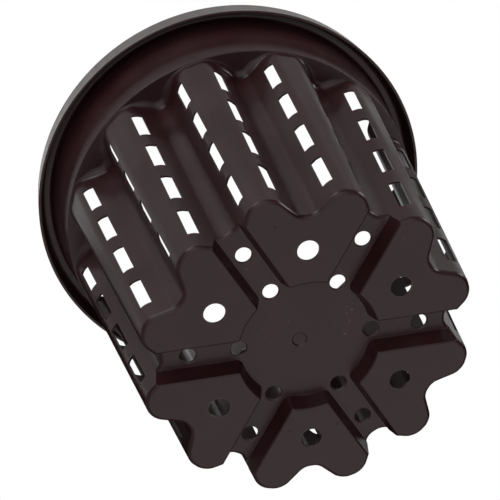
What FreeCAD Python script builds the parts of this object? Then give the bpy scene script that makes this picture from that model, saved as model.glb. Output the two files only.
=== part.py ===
# Air pruning pot: a nursery container moulded in one piece of black plastic.
# Millimetres, Z up. The origin is on the pot's axis, in the plane that its feet stand on.
import FreeCAD, Part

import math
import os

from FreeCAD import Vector

# Overall sizes
pot_height = 235.5
rim_radius = 140.2
wall = 1.3
floor_thickness = 1.6

# Feet: hollow pads round a raised floor, which runs out between them as drain channels
foot_count = 6
foot_height = 10.8
raised_floor_radius = 41.0
channel_width = 15.6
foot_draft = 18.0
foot_corner = 1.6

# Fluted wall: each flute is a flat crown between two flanks, and a flat valley parts it from the next
flutes_per_foot = 2
ledge_height = 181.1
crown_radius_base = 104.9
flute_depth_base = 15.9
flute_depth_ledge = 17.0
valley_width_base = 9.1
valley_width_ledge = 7.8
flank_angle = 58.7
crown_rounding = 11.5
valley_rounding = 8.0

# Ledge, collar and rim with its turned-down skirt
rim_overhang = 14.9
ledge_step = 1.4
ledge_cove = 4.5
collar_draft = 6.0
rim_wall = 2.2
rim_edge = 1.5
skirt_height = 18.2
skirt_draft = 4.0

# Air slots in rows up both corners of every crown
slot_rows = 4
slot_height = 27.5
slot_pitch = 41.5
first_slot_height = 16.0
slot_width = 7.5
slot_down_flank = 5.2
slot_facing = 50.0

# Drain holes
foot_hole_diameter = 13.5
foot_hole_radius = 66.5
inner_hole_diameter = 10.0
inner_hole_radius = 41.8
outer_hole_diameter = 10.0
outer_hole_radius = 73.2

# Gate mark: a shallow dimple where the plastic was let in, a little off the axis
gate_diameter = 10.0
gate_depth = 0.7
gate_offset = 3.6

joining_tolerance = 0.0001

flute_count = foot_count * flutes_per_foot
half_pitch = 180.0 / flute_count
foot_lean = math.tan(math.radians(foot_draft))
through = 2 * (wall + floor_thickness)
collar_radius = rim_radius - rim_overhang
crown_radius_ledge = collar_radius - ledge_step


def polar(radius, angle, z=0.0):
    """The point at this radius, at an angle in degrees about the pot's axis."""
    turn = math.radians(angle)
    return Vector(radius * math.cos(turn), radius * math.sin(turn), z)


def crossing(angle_a, distance_a, angle_b, distance_b, z):
    """Where two lines at height z meet, each given by its distance from the axis and its normal's angle."""
    normal_a = polar(1, angle_a)
    normal_b = polar(1, angle_b)
    slant = normal_a.x * normal_b.y - normal_a.y * normal_b.x
    x = (distance_a * normal_b.y - distance_b * normal_a.y) / slant
    y = (distance_b * normal_a.x - distance_a * normal_b.x) / slant
    return Vector(x, y, z)


def between(base, ledge, z):
    """A size of the fluted wall at height z, from its values at the base and at the ledge."""
    return base + (ledge - base) * z / ledge_height


def flute_sides(z, outset=0.0):
    """The sides of one flute at height z, in its own frame: each side's normal angle and distance."""
    crown = between(crown_radius_base, crown_radius_ledge, z)
    valley = crown - between(flute_depth_base, flute_depth_ledge, z)
    valley_half = between(valley_width_base, valley_width_ledge, z) / 2
    turn = math.radians(flank_angle - half_pitch)
    flank = valley * math.cos(turn) - valley_half * math.sin(turn)
    return [
        (-half_pitch, valley + outset),
        (-flank_angle, flank + outset),
        (0, crown + outset),
        (flank_angle, flank + outset),
        (half_pitch, valley + outset),
    ]


def flute_corners(z, outset=0.0):
    """The corners between those sides: valley, crown, crown and valley."""
    sides = flute_sides(z, outset)
    return [crossing(*side, *following, z) for side, following in zip(sides, sides[1:])]


def around(points):
    """The points of one flute, repeated for all of them."""
    ring = []
    for flute in range(flute_count):
        spin = FreeCAD.Rotation(Vector(0, 0, 1), (2 * flute + 1) * half_pitch)
        ring += [spin.multVec(point) for point in points]
    return ring


def roundings():
    """The radii of valley and crown corners, limited by the narrowest flat beside them."""
    valley_room = []
    crown_room = []
    for z in (0, ledge_height):
        valley_corner, crown_corner = flute_corners(z)[2:][::-1]
        crown_room.append(crown_corner.y)
        middle = polar(1, half_pitch)
        valley_room.append(abs(valley_corner.x * middle.y - valley_corner.y * middle.x))
    crown_limit = 0.95 * min(crown_room) / math.tan(math.radians(flank_angle / 2))
    valley_limit = 0.95 * min(valley_room) / math.tan(math.radians((flank_angle - half_pitch) / 2))
    return min(valley_rounding, valley_limit), min(crown_rounding, crown_limit)


def fluted_solid(bottom, top, outset=0.0):
    """The fluted wall filled to the axis: flat faces, with the crowns' and valleys' corners rounded."""
    low = around(flute_corners(bottom, outset))
    high = around(flute_corners(top, outset))
    faces = []
    for index in range(len(low)):
        last = index - 1
        outline = [low[last], low[index], high[index], high[last], low[last]]
        faces.append(Part.Face(Part.makePolygon(outline)))
    faces += [Part.Face(Part.makePolygon(ring + ring[:1])) for ring in (low, high)]
    solid = Part.Solid(Part.Shell(faces))
    valley_radius, crown_radius = roundings()
    for radius, places in ((crown_radius + outset, (1, 2)), (valley_radius - outset, (0, 3))):
        feet = [low[index] for index in range(len(low)) if index % 4 in places]
        edges = [edge for edge in solid.Edges if stands_on(edge, feet, top - bottom)]
        solid = solid.makeFillet(radius, edges)
    return solid


def stands_on(edge, feet, rise):
    """Whether an edge climbs by this much from one of these points."""
    ends = sorted((vertex.Point for vertex in edge.Vertexes), key=lambda point: point.z)
    if len(ends) < 2 or ends[1].z - ends[0].z < 0.99 * rise:
        return False
    return min((ends[0] - foot).Length for foot in feet) < 0.001


def cove_wedge(outset, ledge, size):
    """What fills the corner between a valley and the ledge, flat across it and fading out along its flanks.

    The valley is the one beyond the flute that lies along X, and the wall is moved outwards by outset."""
    sunk = wall / 2
    valley_radius, crown_radius = roundings()
    fade = crown_radius * math.tan(math.radians(flank_angle / 2))
    on_wall = flute_corners(ledge - size, outset)[3]
    at_ledge = flute_corners(ledge + sunk, outset + size + sunk)[3]
    inside = flute_corners(ledge + sunk, outset - sunk)[3]
    faded = flute_corners(ledge + sunk, outset)[2] + polar(fade, flank_angle + 90)
    near = [faded, on_wall, at_ledge, inside]
    middle = polar(1, half_pitch)
    far = [point - (point - middle * point.dot(middle) - Vector(0, 0, point.z)) * 2 for point in near]
    outlines = [
        [near[1], near[2], far[2], far[1]],
        [near[3], near[1], far[1], far[3]],
        [near[0], near[2], far[2], far[0], far[3], near[3]],
    ]
    for faded, on_wall, at_ledge, inside in (near, far):
        outlines += [[faded, on_wall, at_ledge], [faded, inside, on_wall]]
    faces = [Part.Face(Part.makePolygon(outline + outline[:1])) for outline in outlines]
    return Part.Solid(Part.Shell(faces))


def cove(outset, ledge, size):
    """A wedge in every valley."""
    wedges = []
    for flute in range(flute_count):
        wedge = cove_wedge(outset, ledge, size)
        wedge.rotate(Vector(0, 0, 0), Vector(0, 0, 1), (2 * flute + 1) * half_pitch)
        wedges.append(wedge)
    return wedges


def recess_wire(z, growth=0.0):
    """The outline of the raised floor and its channels at height z, with the feet's corners rounded.

    Widened by growth it outlines the floor's upper side, which has square corners."""
    spread = (foot_height - z) * foot_lean + growth
    disc = raised_floor_radius + spread
    half_width = channel_width / 2 + spread
    rounding = 0 if growth else foot_corner + z * foot_lean
    across = half_width + rounding
    along = math.sqrt((disc + rounding) ** 2 - across ** 2)
    corner_turn = math.degrees(math.atan2(across, along))
    channel_end = 1.2 * crown_radius_base
    edges = []
    for channel in range(foot_count):
        middle = (channel + 0.5) * 360 / foot_count
        out = polar(1, middle)
        aside = polar(1, middle + 90)
        lift = Vector(0, 0, z)
        corner_arcs = []
        for side in (-1, 1):
            on_disc = polar(disc, middle + corner_turn * side, z)
            on_channel = out * along + aside * half_width * side + lift
            if rounding:
                centre = on_channel + aside * rounding * side
                inward = (on_disc - centre + on_channel - centre).normalize()
                corner_arcs.append(Part.Arc(on_disc, centre + inward * rounding, on_channel).toShape())
            edges.append(Part.LineSegment(on_channel, out * channel_end + aside * half_width * side + lift).toShape())
        mouth = [out * channel_end + aside * half_width * side + lift for side in (-1, 1)]
        edges.append(Part.LineSegment(*mouth).toShape())
        edges += corner_arcs
        disc_ends = [middle + corner_turn, middle + 360 / foot_count - corner_turn]
        arc = [polar(disc, angle, z) for angle in (disc_ends[0], sum(disc_ends) / 2, disc_ends[1])]
        edges.append(Part.Arc(*arc).toShape())
    return Part.Wire(Part.__sortEdges__(edges))


def revolved(profile):
    """A solid round the pot's axis, flat at both ends, whose outside follows a profile of radius and height."""
    circles = [Part.makeCircle(radius, Vector(0, 0, z)) for radius, z in profile]
    faces = [Part.Face(Part.Wire(circles[0])), Part.Face(Part.Wire(circles[-1]))]
    for index in range(1, len(profile)):
        pair = circles[index - 1:index + 1]
        if profile[index - 1][1] == profile[index][1]:
            narrow, wide = sorted(pair, key=lambda circle: circle.Curve.Radius)
            faces.append(Part.Face([Part.Wire(wide), Part.Wire(narrow)]))
        else:
            faces.append(Part.makeRuledSurface(*pair))
    shell = Part.Shell(faces)
    shell.sewShape()
    solid = Part.Solid(shell)
    solid.fix(joining_tolerance, joining_tolerance, joining_tolerance)
    return solid


def outer_form():
    """Everything inside the pot's outer skin: flutes, ledge, collar and rim, less the floor's recess."""
    flange = pot_height - rim_wall
    collar_top = collar_radius + (flange - ledge_height) * math.tan(math.radians(collar_draft))
    skirt_bottom = rim_radius + skirt_height * math.tan(math.radians(skirt_draft))
    rim = revolved([
        (collar_radius, ledge_height),
        (collar_top, flange),
        (rim_radius - rim_wall, flange),
        (skirt_bottom - rim_wall, pot_height - skirt_height),
        (skirt_bottom, pot_height - skirt_height),
        (rim_radius, pot_height - rim_edge),
        (rim_radius - rim_edge, pot_height),
    ])
    flutes = fluted_solid(0, ledge_height)
    recess = Part.makeLoft([recess_wire(-1), recess_wire(foot_height)], True, True)
    return flutes.fuse([rim] + cove(0, ledge_height, ledge_cove)).cut(recess)


def inner_form():
    """The room inside the pot, down to the floor of each hollow foot."""
    ledge_top = ledge_height + wall
    above = pot_height + wall
    inner = collar_radius - wall
    room = revolved([
        (inner, ledge_top),
        (inner + (above - ledge_top) * math.tan(math.radians(collar_draft)), above),
    ])
    flutes = fluted_solid(floor_thickness, ledge_top, -wall)
    growth = wall / math.cos(math.radians(foot_draft))
    floor_top = foot_height + floor_thickness
    plinth = Part.makeLoft([recess_wire(0, growth), recess_wire(floor_top, growth)], True, True)
    even_cove = ledge_cove + wall * (2 - math.sqrt(2))
    return flutes.fuse([room] + cove(-wall, ledge_top, even_cove)).cut(plinth)


def slots():
    """A cutter for every air slot, each following the slope of its crown's corner."""
    facing = polar(1, slot_facing)
    along = polar(1, slot_facing + 90)
    down_flank = polar(slot_down_flank, flank_angle + 90)
    cutters = []
    for row in range(slot_rows):
        bottom = first_slot_height + row * slot_pitch
        ends = []
        for z in (bottom, bottom + slot_height):
            centre = flute_corners(z)[2] + down_flank
            outline = []
            for out, across in ((-1, -1), (1, -1), (1, 1), (-1, 1)):
                outline.append(centre + facing * out * through + along * across * slot_width / 2)
            ends.append(Part.makePolygon(outline + outline[:1]))
        left = Part.makeLoft(ends, True, True)
        right = left.mirror(Vector(0, 0, 0), Vector(0, 1, 0))
        for flute in range(flute_count):
            for cutter in (left, right):
                turned = cutter.copy()
                turned.rotate(Vector(0, 0, 0), Vector(0, 0, 1), (2 * flute + 1) * half_pitch)
                cutters.append(turned)
    return cutters


def drain_holes():
    """A cutter for every hole in the feet and in the channels."""
    cutters = []
    for foot in range(foot_count):
        turn = foot * 360 / foot_count
        channel = turn + 180 / foot_count
        rings = (
            (foot_hole_diameter, foot_hole_radius, turn, 0),
            (inner_hole_diameter, inner_hole_radius, channel, foot_height),
            (outer_hole_diameter, outer_hole_radius, channel, foot_height),
        )
        for diameter, radius, angle, z in rings:
            centre = polar(radius, angle, z - 1)
            cutters.append(Part.makeCylinder(diameter / 2, floor_thickness + 2, centre))
    return cutters


def gate_mark():
    """A cutter for the dimple in the raised floor's underside."""
    ball = ((gate_diameter / 2) ** 2 + gate_depth ** 2) / (2 * gate_depth)
    return Part.makeSphere(ball, Vector(0, -gate_offset, foot_height + gate_depth - ball))


def pot():
    """The whole moulding."""
    shell = outer_form().cut(inner_form())
    return shell.cut(slots() + drain_holes() + [gate_mark()])


os.makedirs("parts", exist_ok=True)
pot().exportStep("parts/pot.step")
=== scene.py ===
import math

import bmesh
import bpy
from mathutils import Matrix, Vector


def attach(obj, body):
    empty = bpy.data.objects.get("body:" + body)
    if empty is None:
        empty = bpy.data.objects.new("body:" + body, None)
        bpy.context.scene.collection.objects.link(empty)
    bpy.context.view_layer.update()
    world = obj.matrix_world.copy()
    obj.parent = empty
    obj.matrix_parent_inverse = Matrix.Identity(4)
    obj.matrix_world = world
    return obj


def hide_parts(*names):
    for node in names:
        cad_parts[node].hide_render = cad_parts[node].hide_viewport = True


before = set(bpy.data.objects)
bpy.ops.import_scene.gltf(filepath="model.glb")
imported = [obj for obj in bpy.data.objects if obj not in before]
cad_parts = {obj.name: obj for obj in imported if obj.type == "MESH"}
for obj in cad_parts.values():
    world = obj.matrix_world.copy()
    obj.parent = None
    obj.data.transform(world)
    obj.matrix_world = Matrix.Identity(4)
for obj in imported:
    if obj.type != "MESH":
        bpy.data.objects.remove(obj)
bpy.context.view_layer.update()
scene = bpy.context.scene

# Wall of the pot: twelve flutes that widen from the feet to a ledge. Each has a flat crown between
# two flanks, and a flat valley parts it from the next. All of the pot is one injection moulding in
# black polypropylene, so this skin carries on into the ledge, the collar and the rim below.
flute_count = 12
half_pitch = math.pi / flute_count
flank_turn = math.radians(58.7)
ledge_height = 0.1811
wall = 0.0013
crown_foot = 0.1049
crown_widening = 0.0190
flute_depth = 0.0159
flute_deepening = 0.0011
half_valley_foot = 0.00455
valley_narrowing = 0.00065
crown_rounding = 0.0115
valley_rounding = 0.0080
shortest_flank = 0.009


def crossing(turn_a, distance_a, turn_b, distance_b):
    """Where two sides of a flute meet, each given by its normal's turn and its distance from the axis."""
    slant = math.sin(turn_b - turn_a)
    x = (distance_a * math.sin(turn_b) - distance_b * math.sin(turn_a)) / slant
    y = (distance_b * math.cos(turn_a) - distance_a * math.cos(turn_b)) / slant
    return Vector((x, y, 0))


def flute_corners(z, out):
    """The crown's and the valley's corner of a flute along X, at height z and out outside the wall."""
    share = z / ledge_height
    crown = crown_foot + crown_widening * share
    valley = crown - flute_depth - flute_deepening * share
    half_valley = half_valley_foot - valley_narrowing * share
    lean = flank_turn - half_pitch
    flank = valley * math.cos(lean) - half_valley * math.sin(lean)
    crown_corner = crossing(0, crown + out, flank_turn, flank + out)
    valley_corner = crossing(flank_turn, flank + out, half_pitch, valley + out)
    return crown_corner, valley_corner


def flute_outline(z, out):
    """Places in order round the wall's outline at height z, out outside the wall, corners rounded."""
    crown_corner, valley_corner = flute_corners(z, out)
    ring = bmesh.new()
    for flute in range(flute_count):
        turn = Matrix.Rotation((2 * flute + 1) * half_pitch, 3, "Z")
        for corner, side in ((valley_corner, -1), (crown_corner, -1), (crown_corner, 1), (valley_corner, 1)):
            ring.verts.new(turn @ Vector((corner.x, corner.y * side, z)))
    corners = list(ring.verts)
    ring.faces.new(corners)
    crown_reach = (crown_rounding + out) * math.tan(flank_turn / 2)
    valley_reach = (valley_rounding - out) * math.tan((flank_turn - half_pitch) / 2)
    crowns = corners[1::4] + corners[2::4]
    valleys = corners[0::4] + corners[3::4]
    for places, reach, steps in ((crowns, crown_reach, 8), (valleys, valley_reach, 6)):
        bmesh.ops.bevel(ring, geom=places, offset=reach, offset_type="OFFSET", segments=steps,
                        profile=0.5, affect="VERTICES", material=-1, clamp_overlap=False)
    crown_flats = []
    flanks = []
    for edge in ring.edges:
        middle = (edge.verts[0].co + edge.verts[1].co) / 2
        off_crown = math.atan2(middle.y, middle.x) % (2 * half_pitch) - half_pitch
        if abs(off_crown) < 0.001:
            crown_flats.append(edge)
        elif edge.calc_length() > shortest_flank:
            flanks.append(edge)
    bmesh.ops.subdivide_edges(ring, edges=crown_flats, cuts=2)
    bmesh.ops.subdivide_edges(ring, edges=flanks, cuts=3)
    places = sorted((vert.co.copy() for vert in ring.verts), key=lambda co: math.atan2(co.y, co.x))
    ring.free()
    return places


def open_ring(form, places):
    """A closed chain of edges through places, whose vertices are given back in order."""
    ring = [form.verts.new(place) for place in places]
    for vert, following in zip(ring, ring[1:] + ring[:1]):
        form.edges.new((vert, following))
    return ring


def carry_on(form, ring, places):
    """Draws the skin on from its open ring to new places, and gives back the new ring."""
    edges = [form.edges.get((vert, following)) for vert, following in zip(ring, ring[1:] + ring[:1])]
    drawn = bmesh.ops.extrude_edge_only(form, edges=edges)["geom"]
    fresh = {vert for vert in drawn if isinstance(vert, bmesh.types.BMVert)}
    new_ring = []
    for vert, place in zip(ring, places):
        partner = next(edge.other_vert(vert) for edge in vert.link_edges if edge.other_vert(vert) in fresh)
        partner.co = place
        new_ring.append(partner)
    return new_ring


cove = 0.0055
trial_step = 0.004
foot_outline = flute_outline(0, 0)
ledge_outline = flute_outline(ledge_height, 0)
ledge_widened = flute_outline(ledge_height, trial_step)
outward = [(wide - own) / trial_step for own, wide in zip(ledge_outline, ledge_widened)]


def wall_places(heights, outs):
    """Places on the wall, each at its own height and its own distance outside the wall."""
    places = []
    for foot, top, out_way, z, out in zip(foot_outline, ledge_outline, outward, heights, outs):
        places.append(foot.lerp(top, z / ledge_height) + out_way * out)
    return places


def level(z):
    """The same height, or the same distance outside the wall, for the whole ring."""
    return [z] * len(foot_outline)


def edge_curve(size):
    """The height and the reach over the wall of each step round an outer edge of this radius, from below."""
    turns = [math.radians(18 * step) for step in range(6)]
    return [(size - size * math.cos(turn), size * math.sin(turn) - size) for turn in turns]


collar_foot = 0.1253
outer_rounding = 0.0028
wall_heights = (0.030, 0.072, 0.113, 0.150)
cove_bends = [math.radians(15 * step) for step in range(7)]
pot_skin = bmesh.new()
foot_curve = edge_curve(outer_rounding)
ring = open_ring(pot_skin, wall_places(level(0), level(-outer_rounding)))
pot_skin.faces.new(ring)
for z, out in foot_curve[1:]:
    ring = carry_on(pot_skin, ring, wall_places(level(z), level(out)))
for z in wall_heights:
    ring = carry_on(pot_skin, ring, wall_places(level(z), level(0)))
cove_sizes = [min(cove, 0.5 * (collar_foot - place.xy.length)) for place in ledge_outline]
for bend in cove_bends:
    heights = [ledge_height - size * (1 - math.sin(bend)) for size in cove_sizes]
    outs = [size * (1 - math.cos(bend)) for size in cove_sizes]
    ring = carry_on(pot_skin, ring, wall_places(heights, outs))

# Ledge, collar and rim: the wall steps out to a round collar, which opens a little to the rim, and
# the rim turns outwards and down as a skirt. Every edge that the tool leaves is rounded. The profile
# gives each edge's radius, height and rounding, outside first and then back down the inside.
rim_height = 0.2355
rim_radius = 0.1402
rim_wall = 0.0022
flange_radius = 0.1380
skirt_depth = 0.0182
skirt_end = 0.2173
skirt_rounding = 0.0006
flange_height = rim_height - rim_wall
collar_slope = math.tan(math.radians(6))
collar_head = collar_foot + (flange_height - ledge_height) * collar_slope
inner_foot = collar_foot - wall
inner_ledge = ledge_height + wall
inner_head = inner_foot + (rim_height - inner_ledge) * collar_slope
skirt_foot = rim_radius + skirt_depth * math.tan(math.radians(4))
profile = [
    (collar_foot, ledge_height, 0.0005),
    (collar_head, flange_height, 0.0018),
    (flange_radius, flange_height, 0.0026),
    (skirt_foot - rim_wall, skirt_end, skirt_rounding),
    (skirt_foot, skirt_end, skirt_rounding),
    (rim_radius, rim_height, 0.0021),
    (inner_head, rim_height, 0.0026),
    (inner_foot, inner_ledge, 0.0010),
]
directions = [place.xy.normalized().to_3d() for place in ledge_outline]
for radius, z, _ in profile:
    ring = carry_on(pot_skin, ring, [way * radius + Vector((0, 0, z)) for way in directions])
inner_sizes = [min(cove + wall, 0.7 * (inner_foot - place.xy.length + wall)) for place in ledge_outline]
for bend in reversed(cove_bends):
    heights = [inner_ledge - size * (1 - math.sin(bend)) for size in inner_sizes]
    outs = [size * (1 - math.cos(bend)) - wall for size in inner_sizes]
    ring = carry_on(pot_skin, ring, wall_places(heights, outs))
floor_thickness = 0.0016
for z in (*reversed(wall_heights), floor_thickness):
    ring = carry_on(pot_skin, ring, wall_places(level(z), level(-wall)))
pot_skin.faces.new(ring)
bmesh.ops.recalc_face_normals(pot_skin, faces=pot_skin.faces)
for radius, z, size in profile:
    turned = []
    for edge in pot_skin.edges:
        if all(abs(vert.co.z - z) < 1e-6 and abs(vert.co.xy.length - radius) < 1e-6 for vert in edge.verts):
            turned.append(edge)
    bmesh.ops.bevel(pot_skin, geom=turned, offset=size, offset_type="OFFSET", segments=4, profile=0.5,
                    affect="EDGES", material=-1, clamp_overlap=True)


def combined(form, other, operation):
    """A closed form joined with, less, or common to another one. Both forms are used up."""
    items = []
    for part in (form, other):
        mesh = bpy.data.meshes.new("form")
        part.to_mesh(mesh)
        part.free()
        item = bpy.data.objects.new("form", mesh)
        scene.collection.objects.link(item)
        items.append(item)
    step = items[0].modifiers.new("step", "BOOLEAN")
    step.object = items[1]
    step.operation = operation
    step.solver = "EXACT"
    result = bmesh.new()
    result.from_object(items[0], bpy.context.evaluated_depsgraph_get())
    for item in items:
        mesh = item.data
        bpy.data.objects.remove(item)
        bpy.data.meshes.remove(mesh)
    return result


# Feet: six hollow pads round a raised floor, whose arms run out between them as drain channels.
# Their sides lean for the tool to draw, and their corners grow rounder towards the floor.
floor_height = 0.0108
floor_radius = 0.0410
channel_half_width = 0.0078
channel_reach = 0.126
foot_corner = 0.0016
least_corner = 0.0003
draft = math.tan(math.radians(18))


def recess_outline(z, growth):
    """Places in order round the raised floor and its channels at height z, widened by growth."""
    spread = (floor_height - z) * draft + growth
    disc = floor_radius + spread
    half_width = channel_half_width + spread
    rounding = max(foot_corner + z * draft - growth, least_corner)
    across = half_width + rounding
    along = math.sqrt((disc + rounding) ** 2 - across ** 2)
    corner_turn = math.atan2(across, along)
    right = []
    for step in range(7):
        swing = math.pi - corner_turn - step / 6 * (math.pi / 2 - corner_turn)
        right.append(Vector((along + rounding * math.cos(swing), rounding * math.sin(swing) - across, z)))
    right.append(Vector((channel_reach, -half_width, z)))
    left = [Vector((place.x, -place.y, z)) for place in reversed(right)]
    places = []
    for channel in range(6):
        turn = Matrix.Rotation(math.radians(60 * channel + 30), 3, "Z")
        places += [turn @ place for place in right + left]
        for step in range(1, 6):
            swing = corner_turn + step / 6 * (math.radians(60) - 2 * corner_turn)
            places.append(turn @ Vector((disc * math.cos(swing), disc * math.sin(swing), z)))
    return places


def block(low, high):
    """A closed form between two outlines of as many places."""
    form = bmesh.new()
    ring = open_ring(form, low)
    form.faces.new(ring)
    form.faces.new(carry_on(form, ring, high))
    bmesh.ops.recalc_face_normals(form, faces=form.faces)
    return form


overlap = 0.001
growth = wall / math.cos(math.radians(18))
plinth = block(recess_outline(overlap, growth), recess_outline(floor_height + floor_thickness, growth))
within = block(wall_places(level(0.0005), level(-wall / 2)), wall_places(level(0.016), level(-wall / 2)))
plinth = combined(plinth, within, "INTERSECT")
moulding = combined(pot_skin, plinth, "UNION")
pad_rounding = 0.0011
recess = bmesh.new()
ring = open_ring(recess, recess_outline(-overlap, pad_rounding))
recess.faces.new(ring)
for z, out in edge_curve(pad_rounding):
    ring = carry_on(recess, ring, recess_outline(z, -out))
recess.faces.new(carry_on(recess, ring, recess_outline(floor_height, 0)))
bmesh.ops.recalc_face_normals(recess, faces=recess.faces)
moulding = combined(moulding, recess, "DIFFERENCE")


def channel_ends():
    """What the rounded outer edge of the channels' floor leaves free, in one piece for each channel."""
    beyond_wall = level(0.004)
    hair = 0.00004
    rounded_to = floor_height + outer_rounding
    beyond = block(wall_places(level(floor_height - overlap), beyond_wall),
                   wall_places(level(rounded_to), beyond_wall))
    core = bmesh.new()
    ring = open_ring(core, wall_places(level(floor_height - 2 * overlap), level(-outer_rounding)))
    core.faces.new(ring)
    for z, out in foot_curve:
        ring = carry_on(core, ring, wall_places(level(floor_height + z), level(out + hair)))
    ring = carry_on(core, ring, wall_places(level(rounded_to + overlap), level(hair)))
    core.faces.new(ring)
    bmesh.ops.recalc_face_normals(core, faces=core.faces)
    channels = block(recess_outline(floor_height - overlap, 0), recess_outline(rounded_to, 0.0009))
    return combined(combined(beyond, core, "DIFFERENCE"), channels, "INTERSECT")


moulding = combined(moulding, channel_ends(), "DIFFERENCE")

# Marks of the tool: the round dimple where the plastic was let in, a little off the axis of the raised
# floor, and four small pips on the feet. The steel leaves them in the moulding, and no one trims them.
gate_offset = -0.0036
pip_radius = 0.0022
pip_depth = 0.0003
mark_cutters = bmesh.new()
bmesh.ops.create_cone(mark_cutters, cap_ends=True, segments=48, radius1=0.0053, radius2=0.0040, depth=0.0010,
                      matrix=Matrix.Translation((0, gate_offset, floor_height + 0.0002)))
for x, y in ((0.0845, -0.0194), (-0.0588, -0.0136), (-0.0586, 0.0174), (0.0884, 0.0357)):
    bmesh.ops.create_uvsphere(mark_cutters, u_segments=32, v_segments=64, radius=pip_radius,
                              matrix=Matrix.Translation((x, y, pip_depth - pip_radius)))
moulding = combined(moulding, mark_cutters, "DIFFERENCE")

# Air slots: four rows up both corners of every crown, each an upright opening right through the wall.
# Blades of the tool shut against its core there, so the plastic flows round them. Roots that reach
# the air in a slot stop growing.
slot_cutters = bmesh.new()
crown_corner = flute_corners(0, 0)[0]
rise = (flute_corners(ledge_height, 0)[0] - crown_corner) / ledge_height
rise.z = 1
slot_width = 0.0075
slot_height = 0.0275
slot_pitch = 0.0415
slot_start = 0.016
slot_shift = 0.0052
blade_depth = 0.011
for row in range(4):
    middle = slot_start + slot_pitch * row + slot_height / 2
    facing = Matrix.Rotation(math.radians(50), 3, "Z")
    down_flank = Matrix.Rotation(flank_turn, 3, "Z") @ Vector((0, slot_shift, 0))
    centre = crown_corner + rise * middle + down_flank
    for side in (1, -1):
        shape = Matrix.Identity(4)
        shape.col[0] = (facing @ Vector((blade_depth, 0, 0))).to_4d()
        shape.col[1] = (facing @ Vector((0, slot_width, 0))).to_4d()
        shape.col[2] = (rise * slot_height).to_4d()
        shape.col[3] = centre.to_4d()
        for column in range(3):
            shape[3][column] = 0
        shape[1] = shape[1] * side
        bmesh.ops.create_cube(slot_cutters, size=1, matrix=Matrix.Rotation(half_pitch, 4, "Z") @ shape)
bmesh.ops.spin(slot_cutters, geom=slot_cutters.faces[:], cent=(0, 0, 0), axis=(0, 0, 1),
               angle=2 * math.pi * 11 / 12, steps=11, use_duplicate=True)
bmesh.ops.recalc_face_normals(slot_cutters, faces=slot_cutters.faces)
moulding = combined(moulding, slot_cutters, "DIFFERENCE")

# Drain holes: one through each foot and two through each channel, left by pins in the tool. The holes
# in the channels have a small lead-in on the underside, where the pin's shoulder stood.
foot_hole = 0.0135
channel_hole = 0.0100
hole_cutters = bmesh.new()
lead_in_cutters = bmesh.new()
for foot in range(6):
    turn = math.radians(60 * foot)
    channel = turn + math.radians(30)
    for diameter, radius, angle, z in ((foot_hole, 0.0665, turn, 0.0008),
                                       (channel_hole, 0.0418, channel, floor_height + overlap),
                                       (channel_hole, 0.0732, channel, floor_height + overlap)):
        place = Matrix.Translation((radius * math.cos(angle), radius * math.sin(angle), z))
        bmesh.ops.create_cone(hole_cutters, cap_ends=True, segments=48, radius1=diameter / 2,
                              radius2=diameter / 2, depth=0.005, matrix=place)
        if z > floor_height:
            place = Matrix.Translation((radius * math.cos(angle), radius * math.sin(angle), floor_height))
            bmesh.ops.create_cone(lead_in_cutters, cap_ends=True, segments=48, radius1=0.0067, radius2=0.0045,
                                  depth=0.0018, matrix=place)
moulding = combined(moulding, hole_cutters, "DIFFERENCE")
moulding = combined(moulding, lead_in_cutters, "DIFFERENCE")

crisp_angle = math.radians(32)
for edge in moulding.edges:
    edge.smooth = not edge.is_manifold or edge.calc_face_angle() < crisp_angle
for face in moulding.faces:
    face.smooth = True
pot_mesh = bpy.data.meshes.new("pot_moulding")
moulding.to_mesh(pot_mesh)
moulding.free()
pot = bpy.data.objects.new("pot_moulding", pot_mesh)
scene.collection.objects.link(pot)
evening = pot.modifiers.new("even_shading", "WEIGHTED_NORMAL")
evening.keep_sharp = True
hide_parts("pot")
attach(pot, "root")

# Black nursery plastic: polypropylene coloured all through, moulded against a fine satin tool. It
# shows faint flow streaks up the wall and a patchy sheen with dust specks. Its edges are painted
# paler, a painted highlight that stands in for the glints on them.
plastic = bpy.data.materials.new("black_plastic")
plastic.use_nodes = True
nodes = plastic.node_tree.nodes
links = plastic.node_tree.links
finish = nodes["Principled BSDF"]
finish.inputs["Specular IOR Level"].default_value = 0.27
own_place = nodes.new("ShaderNodeTexCoord")


def patches(scale, detail, stretch):
    """Soft patches over the object, drawn out along the pot's axis where stretch is under one."""
    drawn = nodes.new("ShaderNodeMapping")
    drawn.inputs["Scale"].default_value = (1, 1, stretch)
    links.new(own_place.outputs["Object"], drawn.inputs["Vector"])
    noise = nodes.new("ShaderNodeTexNoise")
    noise.inputs["Scale"].default_value = scale
    noise.inputs["Detail"].default_value = detail
    links.new(drawn.outputs["Vector"], noise.inputs["Vector"])
    return noise.outputs["Fac"]


def ranged(source, low, high, first, last):
    """A value that goes from first to last while the source goes from low to high."""
    span = nodes.new("ShaderNodeMapRange")
    span.inputs["From Min"].default_value = low
    span.inputs["From Max"].default_value = high
    span.inputs["To Min"].default_value = first
    span.inputs["To Max"].default_value = last
    links.new(source, span.inputs["Value"])
    return span.outputs["Result"]


def reckoned(operation, first, second):
    """The result of a sum on two values."""
    sum_node = nodes.new("ShaderNodeMath")
    sum_node.operation = operation
    links.new(first, sum_node.inputs[0])
    links.new(second, sum_node.inputs[1])
    return sum_node.outputs[0]


def tinted(share, under, over):
    """A colour over another one, by a share."""
    mix = nodes.new("ShaderNodeMix")
    mix.data_type = "RGBA"
    links.new(share, mix.inputs["Factor"])
    for socket, colour in ((mix.inputs[6], under), (mix.inputs[7], over)):
        if isinstance(colour, tuple):
            socket.default_value = colour
        else:
            links.new(colour, socket)
    return mix.outputs[2]


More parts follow.
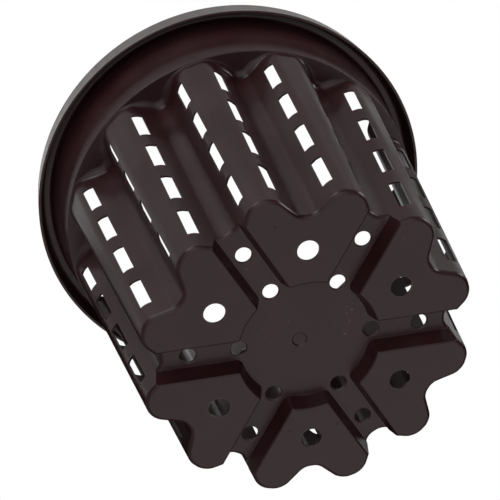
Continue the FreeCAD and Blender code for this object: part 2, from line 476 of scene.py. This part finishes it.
mottle = patches(26, 4, 1)
streaks = patches(150, 3, 0.05)
grain = patches(1500, 2, 1)
specks = ranged(patches(520, 1, 1), 0.72, 0.80, 0, 1)
# Painted highlight: the colour turns paler along edges, where the bevelled normal parts from the true one, to
# stand in for the glints there.
facing = nodes.new("ShaderNodeNewGeometry")
softened = nodes.new("ShaderNodeBevel")
softened.samples = 6
softened.inputs["Radius"].default_value = 0.0012
likeness = nodes.new("ShaderNodeVectorMath")
likeness.operation = "DOT_PRODUCT"
links.new(facing.outputs["Normal"], likeness.inputs[0])
links.new(softened.outputs["Normal"], likeness.inputs[1])
painted_edge_highlight = reckoned("MULTIPLY", ranged(likeness.outputs["Value"], 0.99, 0.90, 0, 1),
                  ranged(patches(70, 3, 1), 0.40, 0.62, 0.2, 1))
dark_plastic = (0.0195, 0.0053, 0.0068, 1)
light_plastic = (0.0265, 0.0090, 0.0108, 1)
dust = (0.090, 0.080, 0.080, 1)
# Colour of the painted highlight on the edges.
edge_highlight_colour = (0.060, 0.042, 0.044, 1)
body = tinted(ranged(mottle, 0.35, 0.68, 0, 1), dark_plastic, light_plastic)
dusty = tinted(reckoned("MULTIPLY", specks, ranged(mottle, 0.5, 0.6, 0.2, 1)), body, dust)
links.new(tinted(painted_edge_highlight, dusty, edge_highlight_colour), finish.inputs["Base Color"])
sheen = reckoned("ADD", ranged(mottle, 0.35, 0.68, 0.29, 0.37), ranged(streaks, 0.3, 0.7, -0.02, 0.02))
links.new(reckoned("SUBTRACT", sheen, ranged(painted_edge_highlight, 0, 1, 0, 0.06)), finish.inputs["Roughness"])
surface = nodes.new("ShaderNodeBump")
surface.inputs["Distance"].default_value = 0.0001
surface.inputs["Strength"].default_value = 0.25
links.new(reckoned("ADD", ranged(grain, 0, 1, 0, 0.35), streaks), surface.inputs["Height"])
links.new(surface.outputs["Normal"], finish.inputs["Normal"])
pot_mesh.materials.append(plastic)

# Studio floor: a pale board that the pot stands on. The camera looks up from under it, so it shows
# only from above, and all other light passes through it.
board = bmesh.new()
bmesh.ops.create_grid(board, x_segments=1, y_segments=1, size=3)
bmesh.ops.translate(board, verts=board.verts, vec=(0, 0, -0.0004))
floor_mesh = bpy.data.meshes.new("floor")
board.to_mesh(floor_mesh)
board.free()
floor = bpy.data.objects.new("floor", floor_mesh)
scene.collection.objects.link(floor)
paint = bpy.data.materials.new("pale_board")
paint.use_nodes = True
nodes = paint.node_tree.nodes
links = paint.node_tree.links
nodes["Principled BSDF"].inputs["Base Color"].default_value = (0.8, 0.8, 0.8, 1)
nodes["Principled BSDF"].inputs["Roughness"].default_value = 0.9
light_path = nodes.new("ShaderNodeLightPath")
geometry = nodes.new("ShaderNodeNewGeometry")
upper = nodes.new("ShaderNodeMath")
upper.operation = "SUBTRACT"
upper.use_clamp = True
clear = nodes.new("ShaderNodeBsdfTransparent")
either = nodes.new("ShaderNodeMixShader")
links.new(light_path.outputs["Is Camera Ray"], upper.inputs[0])
links.new(geometry.outputs["Backfacing"], upper.inputs[1])
links.new(upper.outputs[0], either.inputs[0])
links.new(clear.outputs[0], either.inputs[1])
links.new(nodes["Principled BSDF"].outputs[0], either.inputs[2])
links.new(either.outputs[0], nodes["Material Output"].inputs["Surface"])
floor_mesh.materials.append(paint)

# Studio: a pale panel under the pot and two weaker ones beside it light it softly, and the rest of
# the room is dark. The camera sees plain white all round.
world = bpy.data.worlds.new("studio")
scene.world = world
world.use_nodes = True
nodes = world.node_tree.nodes
links = world.node_tree.links
room = nodes.new("ShaderNodeTexCoord")
light_path = nodes.new("ShaderNodeLightPath")


def glow(direction, low, high, strength):
    """The light of a pale surface that lies in this direction, fading out at its edges."""
    aim = nodes.new("ShaderNodeVectorMath")
    aim.operation = "DOT_PRODUCT"
    aim.inputs[1].default_value = direction
    fading = nodes.new("ShaderNodeMapRange")
    fading.interpolation_type = "SMOOTHSTEP"
    fading.inputs["From Min"].default_value = low
    fading.inputs["From Max"].default_value = high
    fading.inputs["To Max"].default_value = strength
    links.new(room.outputs["Generated"], aim.inputs[0])
    links.new(aim.outputs["Value"], fading.inputs["Value"])
    return fading.outputs["Result"]


surround = nodes.new("ShaderNodeBackground")
surround.inputs["Color"].default_value = (1, 1, 1, 1)
nodes["Background"].inputs["Color"].default_value = (1, 1, 1, 1)
sides = nodes.new("ShaderNodeMath")
links.new(glow((0.68, -0.20, -0.705), 0.66, 0.92, 1.25), sides.inputs[0])
links.new(glow((-0.35, -0.85, -0.40), 0.50, 0.90, 0.30), sides.inputs[1])
room_light = nodes.new("ShaderNodeMath")
links.new(glow((-0.44, 0.19, -0.878), 0.65, 0.97, 1.15), room_light.inputs[0])
links.new(sides.outputs[0], room_light.inputs[1])
links.new(room_light.outputs[0], nodes["Background"].inputs["Strength"])
pick = nodes.new("ShaderNodeMixShader")
links.new(light_path.outputs["Is Camera Ray"], pick.inputs[0])
links.new(nodes["Background"].outputs[0], pick.inputs[1])
links.new(surround.outputs[0], pick.inputs[2])
links.new(pick.outputs[0], nodes["World Output"].inputs["Surface"])

# White cards: parts of two flat rings that stand behind the pot. The inner one is lit and shines on
# the outer side of the rim, and the outer one gives the wall its soft sheen.
card_turn = Matrix.Rotation(math.radians(-115), 3, "Z")
card_height = 0.40


def card_ring(name, inner, outer):
    """Part of a flat ring of card, seen in the pot's sheen only. Its mesh is given back."""
    card = bmesh.new()
    card_ends = [card.verts.new(card_turn @ Vector((radius, 0, card_height))) for radius in (inner, outer)]
    card_edge = card.edges.new(card_ends)
    bmesh.ops.spin(card, geom=card_ends + [card_edge], cent=(0, 0, 0), axis=(0, 0, 1),
                   angle=math.radians(240), steps=32)
    card_mesh = bpy.data.meshes.new(name)
    card.to_mesh(card_mesh)
    card.free()
    piece = bpy.data.objects.new(name, card_mesh)
    scene.collection.objects.link(piece)
    piece.visible_camera = False
    piece.visible_diffuse = False
    piece.visible_shadow = False
    return card_mesh


matte = bpy.data.materials.new("matte_card")
matte.use_nodes = True
card_ring("outer_card", 0.34, 0.80).materials.append(matte)
white = bpy.data.materials.new("white_card")
white.use_nodes = True
nodes = white.node_tree.nodes
links = white.node_tree.links
nodes["Principled BSDF"].inputs["Base Color"].default_value = (0.8, 0.8, 0.8, 1)
nodes["Principled BSDF"].inputs["Emission Color"].default_value = (1, 1, 1, 1)
card_place = nodes.new("ShaderNodeTexCoord")
across = nodes.new("ShaderNodeSeparateXYZ")
dimming = nodes.new("ShaderNodeMapRange")
dimming.inputs["From Min"].default_value = -0.1
dimming.inputs["From Max"].default_value = 0.3
dimming.inputs["To Min"].default_value = 1.0
dimming.inputs["To Max"].default_value = 0.3
links.new(card_place.outputs["Object"], across.inputs[0])
links.new(across.outputs["Y"], dimming.inputs["Value"])
links.new(dimming.outputs["Result"], nodes["Principled BSDF"].inputs["Emission Strength"])
card_ring("inner_card", 0.17, 0.26).materials.append(white)

# Camera: below and to one side of the pot, looking up at its foot, as in the photograph. It is a
# metre away, with a long lens.
lens = bpy.data.cameras.new("camera")
lens.sensor_width = 36
lens.lens = 108.09
lens.shift_x = -0.04
lens.shift_y = -0.04
camera = bpy.data.objects.new("camera", lens)
scene.collection.objects.link(camera)
camera.location = (0.48150, -0.19353, -0.75110)
camera.rotation_euler = (math.radians(153.027), math.radians(13.580), math.radians(91.533))
scene.camera = camera

# Lamps: soft boxes placed by where they stand in the camera's view. One shines into the mouth from
# behind, and the one overhead lights the floor.
def soft_box(name, right, up, back, size, watts):
    """An area lamp aimed at the pot, placed in metres to the camera's right, up and back from the pot."""
    lamp = bpy.data.lights.new(name, "AREA")
    lamp.shape = "DISK"
    lamp.size = size
    lamp.energy = watts
    box = bpy.data.objects.new(name, lamp)
    scene.collection.objects.link(box)
    middle = Vector((0, 0, 0.11))
    place = camera.rotation_euler.to_matrix() @ Vector((right, up, back))
    box.location = middle + place
    box.rotation_mode = "QUATERNION"
    box.rotation_quaternion = place.to_track_quat("Z", "Y")
    box.visible_camera = False
    return box


soft_box("upper_left", -0.80, 1.20, 0.45, 0.9, 10)
soft_box("right", 1.30, 0.75, -0.10, 0.5, 8)
soft_box("front", -0.16, 0.36, 0.92, 0.25, 0.4)
soft_box("mouth", -0.024, 0.022, -0.306, 0.14, 0.045)
soft_box("overhead", -0.444, 0.833, -1.637, 1.0, 30).visible_glossy = False

scene.view_settings.view_transform = "Standard"
